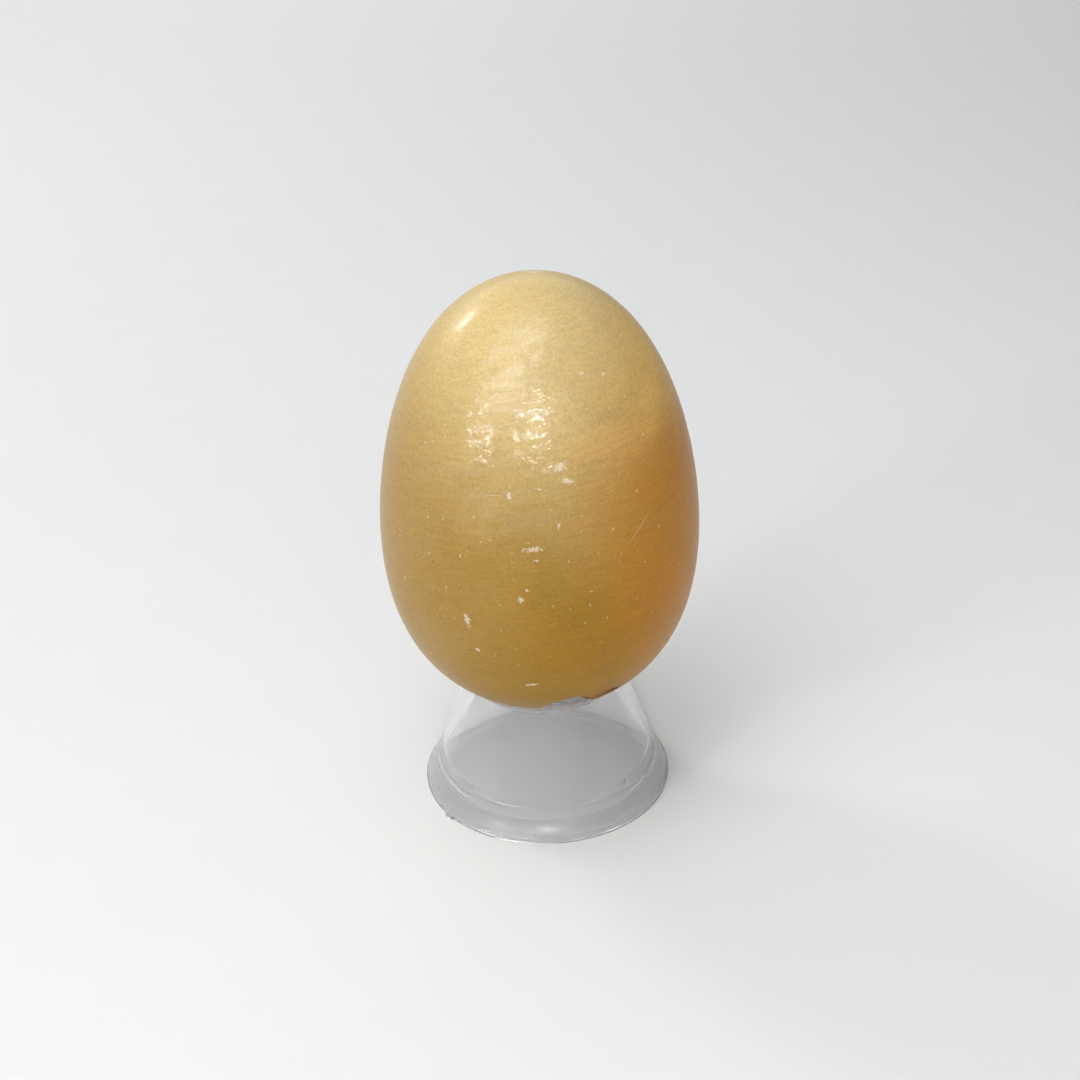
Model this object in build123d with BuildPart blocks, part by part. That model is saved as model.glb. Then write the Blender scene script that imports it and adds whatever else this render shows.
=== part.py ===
from build123d import *
import math
import os

# Polished stone egg standing blunt end down in a clear moulded cone stand.
# Millimetres, +Z up. The foot of the stand rests on Z = 0 and the front faces -Y.

# Stone egg
egg_height = 70.0
egg_width = 49.7
egg_taper = 0.127
egg_fullness = 0.131
pole_flat = 0.4
outline_steps = 16
height_steps = 1000

# Flake broken from the underside at the front, spall beside it and small nick on the right flank
flake_azimuth = -77.0
flake_rise = 3.6
flake_length_curve = 60.0
flake_width_curve = 6.5
flake_depth = 2.2
spall_azimuth = -58.5
spall_rise = 6.7
spall_curve = 18.0
spall_depth = 0.45
nick_azimuth = 0.6
nick_below_top = 25.1
nick_curve = 1.2
nick_depth = 0.3

# Outside of the stand
stand_height = 20.4
rim_radius = 12.6
waist_radius = 18.1
waist_height = 5.1
foot_radius = 20.4
foot_edge = 0.7
foot_hollow = 0.5

# Inside of the stand, given as walls and offsets from the outside
rim_wall = 3.2
seat_drop = 1.4
waist_wall = 2.2
throat_rise = 0.5
lip_draft = 0.2
lip_height = 2.2
foot_ring = 0.6

# Rounded corners of the moulding
rim_round = 0.4
seat_round = 0.3
waist_round = 0.3
throat_round = 2.0
lip_round = 0.3
foot_round = 0.25

# Mark left where the moulding gate was snapped off the foot
gate_azimuth = -142.0
gate_width = 1.9
gate_reach = 0.45
gate_height = 0.6
gate_round = 0.3

# Air between the egg and its seat
seat_gap = 0.15

os.makedirs("parts", exist_ok=True)


def egg_shape(height):
    """Radius of the egg at a height above its base, before scaling to the width."""
    x = 2 * height / egg_height - 1
    return math.sqrt(max(0, 1 - x**2)) * (1 - egg_taper * x + egg_fullness * x**2)


fine_heights = [egg_height * i / height_steps for i in range(height_steps + 1)]
belly_height = max(fine_heights, key=egg_shape)
shape_to_radius = egg_width / 2 / egg_shape(belly_height)


def egg_radius(height):
    """Radius of the egg at a height above its base."""
    return shape_to_radius * egg_shape(height)


# Inner corners of the stand
bore_radius = rim_radius - rim_wall
throat_radius = waist_radius - waist_wall
throat_height = waist_height + throat_rise
recess_radius = foot_radius - foot_ring


def seat_height(radius):
    """Height of the dished seat at a radius."""
    return stand_height - seat_drop * (rim_radius - radius) / rim_wall


# The egg comes down until its underside is one seat gap above the dish
lower_heights = [height for height in fine_heights if height < belly_height]
over_seat = [h for h in lower_heights if bore_radius <= egg_radius(h) <= rim_radius]
egg_base = max(seat_height(egg_radius(h)) - h for h in over_seat) + seat_gap


def scoop_centre(azimuth, height, curve, depth):
    """Centre of the ball or ring that scoops a scar of this depth out of the egg's surface."""
    step = egg_height / height_steps
    slope = (egg_radius(height + step) - egg_radius(height - step)) / (2 * step)
    normal = Vector(1, 0, -slope).normalized()
    point = Vector(egg_radius(height), 0, egg_base + height)
    return (point + normal * (curve - depth)).rotate(Axis.Z, azimuth)


with BuildPart() as stone_egg:
    with BuildSketch(Plane.YZ.shift_origin((0, 0, egg_base))) as egg_half:
        with BuildLine():
            turns = [math.pi * i / outline_steps for i in range(1, outline_steps)]
            heights = [egg_height * (1 - math.cos(turn)) / 2 for turn in turns]
            outline = Spline(
                (pole_flat, 0),
                *[(egg_radius(height), height) for height in heights],
                (pole_flat, egg_height),
                tangents=[(1, 0), (-1, 0)],
                tangent_scalars=[1, 1],
            )
            Polyline(outline @ 1, (0, egg_height), (0, 0), outline @ 0)
        make_face()
    revolve(axis=Axis.Z)
    flake_centre = scoop_centre(flake_azimuth, flake_rise, flake_length_curve, flake_depth)
    flake_axis = Vector(0, 1, 0).rotate(Axis.Z, flake_azimuth)
    with Locations(Plane(origin=flake_centre, z_dir=flake_axis)):
        Torus(flake_length_curve - flake_width_curve, flake_width_curve, mode=Mode.SUBTRACT)
    with Locations(scoop_centre(spall_azimuth, spall_rise, spall_curve, spall_depth)):
        Sphere(spall_curve, mode=Mode.SUBTRACT)
    nick_height = egg_height - nick_below_top
    with Locations(scoop_centre(nick_azimuth, nick_height, nick_curve, nick_depth)):
        Sphere(nick_curve, mode=Mode.SUBTRACT)

stone_egg.part.label = "stone_egg"
export_step(stone_egg.part, "parts/stone_egg.step")


with BuildPart() as display_stand:
    with BuildSketch(Plane.XZ) as stand_half:
        rim = (rim_radius, stand_height)
        waist = (waist_radius, waist_height)
        foot = (foot_radius, foot_edge)
        seat = (bore_radius, seat_height(bore_radius))
        throat = (throat_radius, throat_height)
        lip = (throat_radius + lip_draft, lip_height)
        recess = (recess_radius, 0)
        with BuildLine():
            Polyline((foot_radius, 0), foot)
            SagittaArc(foot, waist, foot_hollow)
            Polyline(waist, rim, seat, throat, lip, recess, (foot_radius, 0))
        make_face()
        roundings = [
            (foot, foot_round),
            (waist, waist_round),
            (rim, rim_round),
            (seat, seat_round),
            (throat, throat_round),
            (lip, lip_round),
        ]
        for corner, radius in roundings:
            fillet(stand_half.vertices().sort_by_distance(corner)[0], radius)
    revolve(axis=Axis.Z)
    with BuildSketch() as gate_mark:
        with PolarLocations(foot_radius, 1, start_angle=gate_azimuth):
            RectangleRounded(2 * gate_reach, gate_width, gate_round)
    extrude(amount=gate_height)

display_stand.part.label = "display_stand"
export_step(display_stand.part, "parts/display_stand.step")
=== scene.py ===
import math

import bpy
import numpy as np
from mathutils import Matrix, Vector, noise


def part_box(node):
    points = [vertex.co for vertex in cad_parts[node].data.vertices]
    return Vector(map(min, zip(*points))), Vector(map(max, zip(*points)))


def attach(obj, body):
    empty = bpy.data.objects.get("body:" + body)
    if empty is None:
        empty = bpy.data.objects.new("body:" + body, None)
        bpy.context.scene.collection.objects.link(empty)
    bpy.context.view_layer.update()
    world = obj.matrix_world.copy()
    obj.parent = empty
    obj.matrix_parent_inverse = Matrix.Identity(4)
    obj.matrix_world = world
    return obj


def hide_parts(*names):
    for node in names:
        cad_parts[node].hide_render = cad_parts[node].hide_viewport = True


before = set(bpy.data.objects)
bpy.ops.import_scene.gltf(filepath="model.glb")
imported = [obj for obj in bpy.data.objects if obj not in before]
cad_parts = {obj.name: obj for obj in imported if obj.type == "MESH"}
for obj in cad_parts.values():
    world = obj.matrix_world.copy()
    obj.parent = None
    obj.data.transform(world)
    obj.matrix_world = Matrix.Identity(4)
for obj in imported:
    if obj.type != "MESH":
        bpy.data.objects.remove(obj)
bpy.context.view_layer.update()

# Millimetres to metres
MM = 0.001

# Photograph: size in pixels, focal length in pixels and the camera's place in millimetres
IMAGE_SIZE = 1080
FOCAL_PIXELS = 1700
SENSOR_MM = 36
CAMERA_PLACE = (-0.0651, -235.0993, 171.5236)
CAMERA_RIGHT = (0.9995049, -0.0150034, -0.0276558)
CAMERA_UP = (0.0314634, 0.4766169, 0.8785479)
CAMERA_AHEAD = (0.0, 0.878983, -0.476853)

# Egg outline, in millimetres above its own base
EGG_TAPER = 0.127
EGG_FULLNESS = 0.131

# Scars: azimuth in degrees, then height above the egg's base, curve up and down, curve from side
# to side and depth, in millimetres
FLAKE = (-77.0, 3.6, 60.0, 6.5, 2.2)
SPALL = (-58.5, 6.7, 18.0, 18.0, 0.45)
NICK = (0.6, 44.9, 1.2, 1.2, 0.3)

# Half width of the raw stone round the nick, roughness and edge of the scars, and depth of the
# polisher's unevenness, in millimetres
NICK_SPOT = 0.75
SCAR_ROUGHNESS = 0.05
SCAR_EDGE = 0.06
UNEVENNESS = 0.012

# Egg mesh: coarse and fine step, and middle and reach of the fine steps. Rows go up the outline in
# millimetres, with their middle as a height, and columns go round in degrees
ROW_STEPS = (0.6, 0.18, 6.0, 8.5)
COLUMN_STEPS = (1.35, 0.62, -70, 38)
OUTLINE_SAMPLES = 6001

# Waist of the stand, where its wall meets its foot, in millimetres
WAIST_RADIUS = 18.1
WAIST_HEIGHT = 5.1

# Dished seat of the stand: lowest height, and radius of its rim, in millimetres
SEAT_HEIGHT = 18.8
RIM_RADIUS = 12.6

# Polishing marks run round an axis that leans to the left, in degrees
POLISH_LEAN = 7.0

# Clear plastic and floor, each from one tint to another
PLASTIC_TINTS = (0.955, 0.965, 0.965, 1), (0.985, 0.99, 0.99, 1)
FLOOR_TINTS = (0.79, 0.79, 0.785, 1), (0.81, 0.81, 0.805, 1)

# Colours of the stone, of its pale marks, and of the raw stone in its scars
# Cream is the stone's pale tone at the crown, with painted light from above and painted sheen in
# it
CREAM_AND_TOP_LIGHT = (0.67, 0.51, 0.23, 1)
HONEY = (0.315, 0.168, 0.010, 1)
TAN = (0.38, 0.23, 0.064, 1)
# Amber is the stone's deeper tone on the right flank, partly painted shade on the side away from
# the lamps
AMBER_AND_SHADE = (0.49, 0.192, 0.001, 1)
# Gold is painted light on the upper right shoulder
GOLD_PAINTED_LIGHT = (0.86, 0.56, 0.15, 1)
SPECK = (0.86, 0.72, 0.46, 1)
CHALK = (0.84, 0.78, 0.66, 1)
RAW_BROWN = (0.20, 0.085, 0.018, 1)
RAW_TAN = (0.42, 0.20, 0.05, 1)
# Painted shade for the undercut right end of the scars
RAW_SHADE = (0.08, 0.028, 0.008, 1)

# Pale flecks in the stone: azimuth in degrees, height above the egg's base, half width and
# half height in millimetres, and tilt in degrees
FLECKS = [
    (-82.2, 49.7, 0.80, 0.55, 10),
    (-79.5, 47.7, 0.70, 0.38, -25),
    (-92.6, 38.1, 1.05, 0.30, 4),
    (-91.7, 36.4, 0.30, 0.22, 0),
    (-116.7, 25.6, 0.36, 0.85, 12),
    (-95.0, 31.7, 0.30, 0.22, 30),
    (-97.1, 30.2, 0.42, 0.38, 40),
    (-95.1, 13.8, 0.70, 0.24, 5),
    # The spot near the crown is drawn as a pale fleck, but stands for a bright point whose cause
    # is not known
    (86.0, 69.75, 1.10, 0.90, 0),
    (-66.1, 60.9, 0.28, 0.25, 0),
    (-55.1, 60.2, 0.28, 0.25, 0),
    (-100.7, 45.8, 0.25, 0.34, 0),
    (-83.5, 41.4, 0.15, 0.40, -15),
    (-113.9, 20.3, 0.28, 0.25, 0),
]
HIDDEN_FLECKS = 12

# Shoulder with the coarsest polish, and a glossy patch at the crown: azimuth in degrees, height
# above the egg's base, and reach in millimetres
COARSE_POLISH = (-101.0, 55.0, 21.0)
CROWN_POLISH = (-80.0, 63.5, 12.0)

# Fine scratches: azimuth, height, half length, half width and tilt
SCRATCHES = [
    (-53.6, 38.6, 4.00, 0.07, 41),
    (-108.0, 45.7, 3.00, 0.05, 2),
]

# Floor in metres: half its side, how far it lies under the foot, and where it fades out
FLOOR_HALF = 3.0
FLOOR_DROP = 0.00003
FLOOR_FADE = (0.8, 1.5)

# Room: its colour, and its strength at the left and at the right
ROOM_COLOUR = (0.95, 0.97, 1.0, 1)
ROOM_LEFT = 0.40
ROOM_RIGHT = 0.26

# Lamps, all round one point above the foot: azimuth and elevation in degrees, distance, width and
# height in metres, radiance, and roll and tilt in degrees
LAMP_CENTRE = (0, 0, 0.055)
LAMPS = {
    "overhead": (-132, 66, 0.75, 0.62, 1.2, 3.1, 0, 0),
    "far": (108, 24, 1.15, 2.1, 0.9, 1.6, 0, 66),
    "band": (-95, 33, 0.62, 1.1, 0.16, 3.0, 0, 0),
    "window": (138, 33, 0.7, 0.12, 0.22, 22.0, 53, 0),
    "front": (-92, 24, 0.55, 0.07, 0.05, 125.0, 0, 0),
    "left": (-138, 20, 0.6, 0.085, 0.04, 100.0, 0, 0),
}


class Nodes:
    """A node tree, with each node linked as it is made."""

    def __init__(self, tree):
        self.tree = tree

    def add(self, kind, inputs=(), **settings):
        """A new node, its settings, and its inputs by name or number."""
        made = self.tree.nodes.new("ShaderNode" + kind)
        for key, value in settings.items():
            setattr(made, key, value)
        for key, value in dict(inputs).items():
            self.feed(made.inputs[key], value)
        return made

    def feed(self, socket, value):
        """Links a socket to another one, or sets its value."""
        if isinstance(value, bpy.types.NodeSocket):
            self.tree.links.new(value, socket)
        else:
            socket.default_value = value

    def math(self, operation, *values):
        return self.add("Math", dict(enumerate(values)), operation=operation).outputs[0]

    def vector(self, operation, *values):
        made = self.add("VectorMath", dict(enumerate(values)), operation=operation)
        return made.outputs["Value" if operation in ("LENGTH", "DISTANCE") else "Vector"]

    def split(self, vector):
        """The three parts of a vector."""
        return self.add("SeparateXYZ", {0: vector}).outputs


class Shader(Nodes):
    """One material's node tree."""

    def __init__(self, name):
        self.material = bpy.data.materials.new(name)
        self.material.use_nodes = True
        super().__init__(self.material.node_tree)
        self.surface = self.tree.nodes["Principled BSDF"]

    def set(self, **values):
        """Feeds the surface's sockets, with _ for a space in their names."""
        for key, value in values.items():
            self.feed(self.surface.inputs[key.replace("_", " ")], value)

    def mix(self, factor, a, b):
        """Colour a where the factor is 0, and b where it is 1."""
        made = self.add("Mix", {0: factor, 6: a, 7: b}, data_type="RGBA")
        return made.outputs[2]

    def ramp(self, value, low, high):
        """0 below low, 1 above high, smooth between. With low above high it falls."""
        made = self.add(
            "MapRange",
            {"Value": value, "From Min": low, "From Max": high},
            interpolation_type="SMOOTHSTEP",
        )
        return made.outputs[0]

    def span(self, value, low, high):
        """A value from 0 to 1 spread over low to high."""
        made = self.add("MapRange", {"Value": value, "To Min": low, "To Max": high})
        return made.outputs[0]

    def stretch(self, vector, scale):
        return self.vector("MULTIPLY", vector, scale)

    def noise(self, vector, scale=1.0, detail=2.0, roughness=0.5, distortion=0.0):
        inputs = {
            "Vector": vector,
            "Scale": scale,
            "Detail": detail,
            "Roughness": roughness,
            "Distortion": distortion,
        }
        return self.add("TexNoise", inputs).outputs[0]

    def bump(self, height, strength, distance, normal=None):
        inputs = {"Height": height, "Strength": strength, "Distance": distance}
        if normal is not None:
            inputs["Normal"] = normal
        return self.add("Bump", inputs).outputs[0]

    def blot(self, place, azimuth, height, half_width, half_height, tilt):
        """Distance from a spot on the egg, as a share of its half width and half height."""
        point, normal = surface_point(azimuth, height)
        turn = Vector(normal).to_track_quat("Z", "Y").to_matrix()
        turn = turn @ Matrix.Rotation(math.radians(tilt), 3, "Z")
        local = self.add("Mapping", {"Vector": place}, vector_type="TEXTURE")
        local.inputs["Location"].default_value = point
        local.inputs["Rotation"].default_value = turn.to_euler()
        local.inputs["Scale"].default_value = (half_width, half_height, 1.0)
        return self.vector("LENGTH", local.outputs[0])

    def nearest(self, place, spots):
        """Least of the distances from some spots on the egg."""
        least = self.blot(place, *spots[0])
        for spot in spots[1:]:
            least = self.math("MINIMUM", least, self.blot(place, *spot))
        return least

    def distance(self, place, azimuth, height):
        """Distance from a point on the egg, in millimetres."""
        return self.vector("DISTANCE", place, tuple(surface_point(azimuth, height)[0]))

    def millimetres(self):
        """The place on the object, in millimetres."""
        place = self.add("TexCoord").outputs["Object"]
        return self.vector("MULTIPLY", place, (1 / MM, 1 / MM, 1 / MM))


# Egg mesh

egg_low, egg_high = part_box("stone_egg")
egg_base = egg_low.z / MM
egg_height = (egg_high.z - egg_low.z) / MM
egg_width = (egg_high.x - egg_low.x) / MM


def egg_shape(height):
    """Radius at a height above the egg's base, before scaling to the width."""
    x = 2 * np.asarray(height) / egg_height - 1
    return np.sqrt(np.maximum(0, 1 - x**2)) * (1 - EGG_TAPER * x + EGG_FULLNESS * x**2)


def egg_radius(height):
    return egg_shape(height) * egg_width / 2 / egg_shape(np.linspace(0, egg_height, 2001)).max()


def graded(start, end, coarse, fine, centre, spread):
    """Places from start to end, a coarse step apart, and a fine one near the centre."""
    x = np.linspace(start, end, OUTLINE_SAMPLES)
    step = coarse - (coarse - fine) * np.exp(-(((x - centre) / spread) ** 4))
    count = np.concatenate([[0], np.cumsum(np.diff(x) / ((step[1:] + step[:-1]) / 2))])
    return np.interp(np.linspace(0, count[-1], round(count[-1]) + 1), count, x)


def surface_point(azimuth, height):
    """Point on the egg and its outward normal, in millimetres."""
    step = egg_height / 2000
    slope = (egg_radius(height + step) - egg_radius(height - step)) / (2 * step)
    turn = math.radians(azimuth)
    across = np.array([math.cos(turn), math.sin(turn), 0])
    normal = across - slope * np.array([0, 0, 1])
    return across * egg_radius(height) + [0, 0, egg_base + height], normal / np.linalg.norm(normal)


def scoop(points, normals, scar):
    """How deep each point goes for a scar scooped by a ring, or a ball where its curves agree."""
    azimuth, height, length_curve, width_curve, depth = scar
    point, normal = surface_point(azimuth, height)
    centre = point + normal * (length_curve - depth)
    turn = math.radians(azimuth)
    across = np.array([-math.sin(turn), math.cos(turn), 0])

    def outside(places):
        offset = places - centre
        aside = offset @ across
        reach = np.sqrt(np.maximum((offset**2).sum(1) - aside**2, 0))
        return np.hypot(reach - (length_curve - width_curve), aside) - width_curve

    start = outside(points)
    low, high = np.zeros(len(points)), np.full(len(points), 2 * depth + 1)
    for _ in range(24):
        middle = (low + high) / 2
        inside = outside(points - normals * middle[:, None]) < 0
        low, high = np.where(inside, middle, low), np.where(inside, high, middle)
    return np.where(start < 0, low, -start)


def ripple(points, scale, octaves):
    """Even noise from about -1 to 1 at each point."""
    return np.array([noise.fractal(Vector(p) * scale, 0.8, 2.0, octaves) for p in points])


def egg_faces(wide, tall):
    """Faces of rows of points that go round, with a bottom and a top point after them."""
    here = np.arange(wide)
    after = (here + 1) % wide
    bottom, top = wide * tall, wide * tall + 1
    faces = [(bottom, b, a) for a, b in zip(here, after)]
    for row in range(tall - 1):
        low, high = row * wide, (row + 1) * wide
        faces += zip(here + low, after + low, after + high, here + high)
    faces += [(top, a, b) for a, b in zip(here + (tall - 1) * wide, after + (tall - 1) * wide)]
    return [tuple(int(i) for i in face) for face in faces]


def polish_places(points, heights, arcs):
    """Each point's place round and along the leaning axis of the polishing marks."""
    lean = math.radians(POLISH_LEAN)
    offset = points - np.array([0, 0, egg_base + egg_height / 2])
    side = offset[:, 0] * math.cos(lean) + offset[:, 2] * math.sin(lean)
    up = offset[:, 2] * math.cos(lean) - offset[:, 0] * math.sin(lean)
    turn = np.arctan2(offset[:, 1], side)
    arc = np.interp(up + egg_height / 2, heights, arcs)
    return np.stack([np.cos(turn), np.sin(turn), arc / (egg_width / 2)], 1) * egg_width / 2


def make_egg():
    turn = np.linspace(0, math.pi, OUTLINE_SAMPLES)
    heights = egg_height * (1 - np.cos(turn)) / 2
    radii = egg_radius(heights)
    arcs = np.concatenate([[0], np.cumsum(np.hypot(np.diff(heights), np.diff(radii)))])
    coarse, fine, scar_height, spread = ROW_STEPS
    scar_arc = np.interp(scar_height, heights, arcs)
    rows = graded(0, arcs[-1], coarse, fine, scar_arc, spread)[1:-1]
    columns = np.radians(graded(-270, 90, *COLUMN_STEPS)[:-1])

    # Smooth egg
    height = np.interp(rows, arcs, heights)
    radius = np.interp(rows, arcs, radii)
    across = np.stack([np.cos(columns), np.sin(columns), np.zeros_like(columns)], 1)
    above = np.array([0, 0, 1])
    slope = np.gradient(radius, rows)[:, None, None]
    rise = np.gradient(height, rows)[:, None, None]
    points = radius[:, None, None] * across + (egg_base + height)[:, None, None] * above
    normals = rise * across - slope * above
    points, normals = points.reshape(-1, 3), normals.reshape(-1, 3)
    normals /= np.linalg.norm(normals, axis=1)[:, None]

    # Scars, and the polisher's unevenness elsewhere
    depth = np.full(len(points), -1.0)
    for scar in (FLAKE, SPALL, NICK):
        depth = np.maximum(depth, scoop(points, normals, scar))
    near = depth > -0.5
    depth[near] += SCAR_ROUGHNESS * ripple(points[near], 1.1, 3)
    broken = np.clip(depth / SCAR_EDGE, 0, 1)
    relief = UNEVENNESS * (1 + ripple(points * (1, 1, 1.8), 0.16, 2))
    inwards = np.maximum(np.maximum(depth, 0), relief * (1 - broken))
    points = points - normals * inwards[:, None]

    bottom, top = (0, 0, egg_base), (0, 0, egg_base + egg_height)
    verts = np.concatenate([points, [bottom, top]]) * MM
    mesh = bpy.data.meshes.new("honey_egg")
    mesh.from_pydata(verts.tolist(), [], egg_faces(len(columns), len(rows)))
    mesh.shade_smooth()
    turned = polish_places(verts / MM, heights, arcs)
    attribute = mesh.attributes.new("turned", "FLOAT_VECTOR", "POINT")
    attribute.data.foreach_set("vector", turned.astype(np.float32).ravel())
    attribute = mesh.attributes.new("broken", "FLOAT", "POINT")
    attribute.data.foreach_set("value", np.concatenate([broken, [0, 0]]).astype(np.float32))
    egg = bpy.data.objects.new("honey_egg", mesh)
    bpy.context.scene.collection.objects.link(egg)
    return egg


def hidden_flecks():
    """Flecks on the side away from the viewer, spread at random from a fixed seed."""
    chance = np.random.default_rng(11)
    return [
        (
            chance.uniform(0, 180),
            chance.uniform(0.12, 0.92) * egg_height,
            chance.uniform(0.3, 1.0),
            chance.uniform(0.2, 0.45),
            chance.uniform(-25, 25),
        )
        for _ in range(HIDDEN_FLECKS)
    ]


def honey_stone():
    s = Shader("honey_stone_polished")
    place = s.millimetres()
    spot = s.split(place)
    turned = s.add("Attribute", attribute_name="turned").outputs["Vector"]
    broken = s.add("Attribute", attribute_name="broken").outputs["Fac"]
    ragged = s.noise(place, 2.6, 3, 0.6)
    nick = s.blot(place, NICK[0], NICK[1], NICK_SPOT, NICK_SPOT, 0)
    nick = s.ramp(s.math("ADD", nick, s.span(ragged, -1.2, 1.2)), 1.1, 0.7)
    broken = s.math("MAXIMUM", broken, nick)

    # Cream at the crown, honey below, amber on the right flank under a gold shoulder, and tan on
    # the left, in soft clouds. The crown's cream is partly painted light from above and painted
    # sheen, the amber flank is partly painted shade, and the gold shoulder is painted light
    cloud = s.span(s.noise(place, 0.05, 3, 0.55, 0.6), -12, 12)
    high = s.math("ADD", spot[2], cloud)
    left = s.math("SUBTRACT", cloud, spot[0])
    right = s.math("ADD", spot[0], cloud)
    colour = s.mix(s.ramp(high, 38, 96), HONEY, CREAM_AND_TOP_LIGHT)
    colour = s.mix(s.ramp(left, 4, 26), colour, TAN)
    colour = s.mix(s.ramp(right, 0, 26), colour, AMBER_AND_SHADE)
    colour = s.mix(s.ramp(high, 60, 100), colour, CREAM_AND_TOP_LIGHT)
    shoulder = s.math("MULTIPLY", s.ramp(right, 7, 23), s.ramp(high, 64, 89))
    colour = s.mix(shoulder, colour, GOLD_PAINTED_LIGHT)

    # Polishing marks round the egg, and a fine even grain
    fibre = s.noise(s.stretch(turned, (0.12, 0.12, 1.2)), 1.0, 4, 0.6, 0.3)
    fine = s.noise(s.stretch(turned, (0.30, 0.30, 3.0)), 1.0, 3, 0.6)
    dimple = s.noise(place, 0.7, 3, 0.55)
    grain = s.noise(place, 2.4, 4, 0.75)
    shade = s.math("ADD", s.span(fibre, 0.91, 1.09), s.span(fine, -0.16, 0.16))
    shade = s.math("ADD", shade, s.span(grain, -0.38, 0.38))
    shade = s.add("CombineXYZ", {0: shade, 1: shade, 2: shade}).outputs[0]
    colour = s.vector("MULTIPLY", colour, shade)

    # Pale specks on the upper part, flecks and scratches
    crook = s.add("TexNoise", {"Vector": place, "Scale": 2.2}).outputs["Color"]
    crooked = s.vector("ADD", place, s.stretch(crook, (0.9, 0.9, 0.9)))
    cells = s.add("TexVoronoi", {"Vector": crooked, "Scale": 0.9}).outputs
    chance = s.add("SeparateColor", {0: cells["Color"]}).outputs
    chosen = s.math("MULTIPLY", s.ramp(chance[0], 0.5, 0.85), s.ramp(spot[2], 26, 50))
    edge = s.math("SUBTRACT", cells["Distance"], s.math("MULTIPLY", chance[1], 0.14))
    speck = s.math("MULTIPLY", s.ramp(edge, 0.09, 0.0), chosen)
    fleck = s.nearest(place, FLECKS + hidden_flecks())
    fleck = s.ramp(s.math("ADD", fleck, s.span(ragged, -2.4, 2.4)), 1.3, 0.7)
    scratch = s.ramp(s.nearest(place, SCRATCHES), 1.0, 0.4)
    colour = s.mix(s.math("MULTIPLY", speck, 0.45), colour, SPECK)
    colour = s.mix(s.math("MULTIPLY", fleck, 0.5), colour, CHALK)
    colour = s.mix(s.math("MULTIPLY", scratch, 0.45), colour, SPECK)

    # Raw stone in the scars, with painted shade darkening its undercut end at the right
    grit = s.noise(place, 1.6, 4, 0.65)
    raw = s.mix(s.ramp(grit, 0.35, 0.7), RAW_BROWN, RAW_TAN)
    raw = s.mix(s.ramp(spot[0], 8, 12.5), raw, RAW_SHADE)
    colour = s.mix(broken, colour, raw)

    # Gloss, broken into strokes on the shoulder where the polish is coarsest
    matt = s.math("MAXIMUM", broken, s.math("MULTIPLY", fleck, 0.8))
    rough = s.math("MAXIMUM", s.span(fibre, 0.30, 0.42), s.math("MULTIPLY", matt, 0.65))
    azimuth, height, reach = COARSE_POLISH
    coarse = s.ramp(s.distance(place, azimuth, height), reach, reach / 3)
    azimuth, height, reach = CROWN_POLISH
    crown = s.ramp(s.distance(place, azimuth, height), reach, 0.0)
    wave = s.noise(s.stretch(turned, (0.09, 0.09, 0.6)), 1.0, 4, 0.6, 0.4)
    stroke = s.ramp(s.math("ADD", wave, s.span(fine, -0.15, 0.15)), 0.42, 0.6)
    gloss = s.math("MULTIPLY_ADD", s.span(stroke, 0.0, 0.9), coarse, s.span(crown, 0.1, 0.55))
    coat = s.math("MULTIPLY", s.math("SUBTRACT", 1, matt), gloss)

    # Relief, strongest on that shoulder and in the scars
    normal = s.bump(fine, 1.0, 0.000008)
    normal = s.bump(s.math("MULTIPLY", fine, coarse), 1.0, 0.00003, normal)
    normal = s.bump(s.math("MULTIPLY", dimple, coarse), 1.0, 0.0002, normal)
    normal = s.bump(s.math("MULTIPLY", wave, coarse), 1.0, 0.00004, normal)
    normal = s.bump(dimple, 1.0, 0.00002, normal)
    normal = s.bump(s.math("MULTIPLY", grit, broken), 0.7, 0.0004, normal)
    normal = s.bump(s.math("ADD", fleck, scratch), 0.5, -0.00006, normal)
    s.set(
        Base_Color=colour,
        Roughness=rough,
        IOR=1.45,
        Specular_IOR_Level=0.2,
        Subsurface_Weight=0.35,
        Subsurface_Radius=(1.0, 0.45, 0.12),
        Subsurface_Scale=0.0035,
        Coat_Weight=coat,
        Coat_Roughness=0.06,
        Coat_IOR=1.7,
        Normal=normal,
        Coat_Normal=normal,
    )
    return s.material


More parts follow.
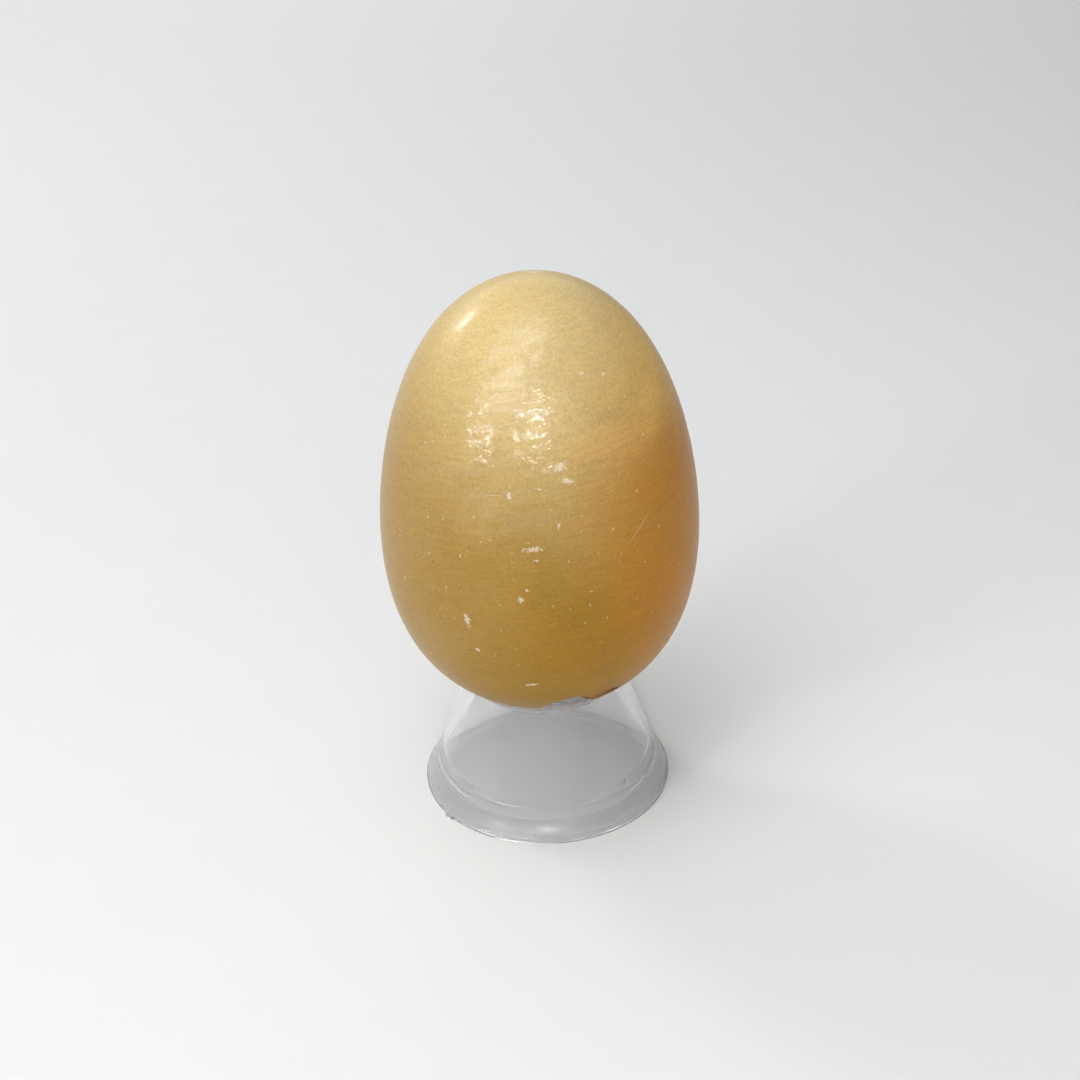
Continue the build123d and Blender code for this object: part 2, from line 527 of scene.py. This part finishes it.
def clear_plastic():
    s = Shader("clear_moulding")
    place = s.millimetres()
    height = s.split(place)[2]
    radius = s.vector("LENGTH", s.stretch(place, (1, 1, 0)))

    # Slight haze with scuffs, and a duller cove round the foot and seat under the egg
    haze = s.noise(place, 0.12, 2, 0.5)
    scuff = s.noise(s.stretch(place, (0.5, 0.5, 2.5)), 1.0, 5, 0.65)
    scuff = s.math("MULTIPLY", s.ramp(scuff, 0.62, 0.8), 0.12)
    cove = s.ramp(radius, WAIST_RADIUS, WAIST_RADIUS + 0.5)
    cove = s.math("MULTIPLY", cove, s.ramp(height, 0.8, 1.2))
    seat = s.ramp(height, SEAT_HEIGHT, SEAT_HEIGHT + 0.3)
    seat = s.math("MULTIPLY", seat, s.ramp(radius, RIM_RADIUS, RIM_RADIUS - 0.4))
    rough = s.math("ADD", s.span(haze, 0.03, 0.06), scuff)
    rough = s.math("MULTIPLY_ADD", s.math("MAXIMUM", cove, seat), 0.24, rough)

    # Raised line round the waist, and slow waves left by the mould
    line = s.ramp(s.math("ABSOLUTE", s.math("SUBTRACT", height, WAIST_HEIGHT)), 0.24, 0.0)
    line = s.math("MULTIPLY", line, s.ramp(radius, WAIST_RADIUS - 1, WAIST_RADIUS - 0.5))
    flow = s.noise(s.stretch(place, (0.08, 0.08, 0.5)), 1.0, 2, 0.4)
    normal = s.bump(line, 1.0, 0.0001, s.bump(flow, 0.15, 0.00006))
    s.set(
        Base_Color=s.mix(haze, *PLASTIC_TINTS),
        Roughness=rough,
        IOR=1.5,
        Transmission_Weight=0.85,
        Normal=normal,
    )
    return s.material


def paper():
    """Pale floor that fades into the room well outside the photograph's view."""
    s = Shader("pale_paper")
    place = s.millimetres()
    near, far = FLOOR_FADE
    s.set(
        Base_Color=s.mix(s.noise(place, 0.05, 3, 0.6), *FLOOR_TINTS),
        Roughness=0.75,
        Normal=s.bump(s.noise(place, 1.5, 3, 0.6), 0.08, 0.0001),
        Alpha=s.ramp(s.vector("LENGTH", place), far / MM, near / MM),
    )
    return s.material


egg = make_egg()
egg.data.materials.append(honey_stone())
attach(egg, "egg")
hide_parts("stone_egg")

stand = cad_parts["display_stand"]
stand.material_slots[0].material = clear_plastic()


# Floor, light and camera

def make_floor():
    mesh = bpy.data.meshes.new("floor")
    corners = [(-1, -1), (1, -1), (1, 1), (-1, 1)]
    verts = [(x * FLOOR_HALF, y * FLOOR_HALF, 0) for x, y in corners]
    mesh.from_pydata(verts, [], [(0, 1, 2, 3)])
    mesh.materials.append(paper())
    floor = bpy.data.objects.new("floor", mesh)
    floor.location.z = -FLOOR_DROP
    bpy.context.scene.collection.objects.link(floor)


def lamp(name, azimuth, elevation, distance, width, height, radiance, roll, tilt):
    """A lamp that faces the egg, width round it and height up.

    It is brightest at its centre and dark at its edge. Roll turns it in its own plane, and tilt
    turns its face down from the egg.
    """
    data = bpy.data.lights.new(name, "AREA")
    data.shape = "RECTANGLE"
    data.size, data.size_y = width, height
    data.energy = radiance * width * height * math.pi
    data.use_nodes = True
    nodes = Nodes(data.node_tree)
    across = nodes.add("NewGeometry").outputs["Parametric"]
    back = nodes.vector("SUBTRACT", (1, 1, 0), across)
    soft = nodes.split(nodes.vector("MULTIPLY", across, back))
    level = nodes.math("MULTIPLY", nodes.math("MULTIPLY", soft[0], soft[1]), 16)
    nodes.feed(nodes.tree.nodes["Emission"].inputs["Strength"], level)
    made = bpy.data.objects.new(name, data)
    bpy.context.scene.collection.objects.link(made)
    a, e = math.radians(azimuth), math.radians(elevation)
    way = Vector((math.cos(a) * math.cos(e), math.sin(a) * math.cos(e), math.sin(e)))
    up = Vector((-math.cos(a) * math.sin(e), -math.sin(a) * math.sin(e), math.cos(e)))
    turn = Matrix((up.cross(way), up, way)).transposed()
    turn = turn @ Matrix.Rotation(math.radians(roll), 3, "Z")
    turn = turn @ Matrix.Rotation(math.radians(-tilt), 3, "X")
    made.matrix_world = Matrix.Translation(Vector(LAMP_CENTRE) + way * distance) @ turn.to_4x4()


def make_light():
    """A pale room, brighter on the left, and the lamps.

    Overhead is the main one. Far lights the floor behind, band shows the clear stand, and window,
    front and left make the glints.
    """
    world = bpy.data.worlds.new("studio")
    bpy.context.scene.world = world
    world.use_nodes = True
    nodes = Nodes(world.node_tree)
    way = nodes.split(nodes.add("TexCoord").outputs["Generated"])
    level = nodes.add(
        "MapRange",
        {"Value": way[0], "From Min": -1, "To Min": ROOM_LEFT, "To Max": ROOM_RIGHT},
    )
    back = nodes.tree.nodes["Background"]
    nodes.feed(back.inputs["Color"], ROOM_COLOUR)
    nodes.feed(back.inputs["Strength"], level.outputs[0])
    for name, values in LAMPS.items():
        lamp(name, *values)


def make_camera():
    data = bpy.data.cameras.new("camera")
    data.sensor_width = SENSOR_MM
    data.lens = SENSOR_MM * FOCAL_PIXELS / IMAGE_SIZE
    data.clip_start = 0.01
    data.clip_end = 20
    camera = bpy.data.objects.new("camera", data)
    bpy.context.scene.collection.objects.link(camera)
    right, up, ahead = map(Vector, (CAMERA_RIGHT, CAMERA_UP, CAMERA_AHEAD))
    turn = Matrix((right, up, -ahead)).transposed().to_4x4()
    camera.matrix_world = Matrix.Translation(Vector(CAMERA_PLACE) * MM) @ turn
    bpy.context.scene.camera = camera


make_floor()
make_light()
make_camera()
bpy.context.scene.view_settings.view_transform = "Standard"
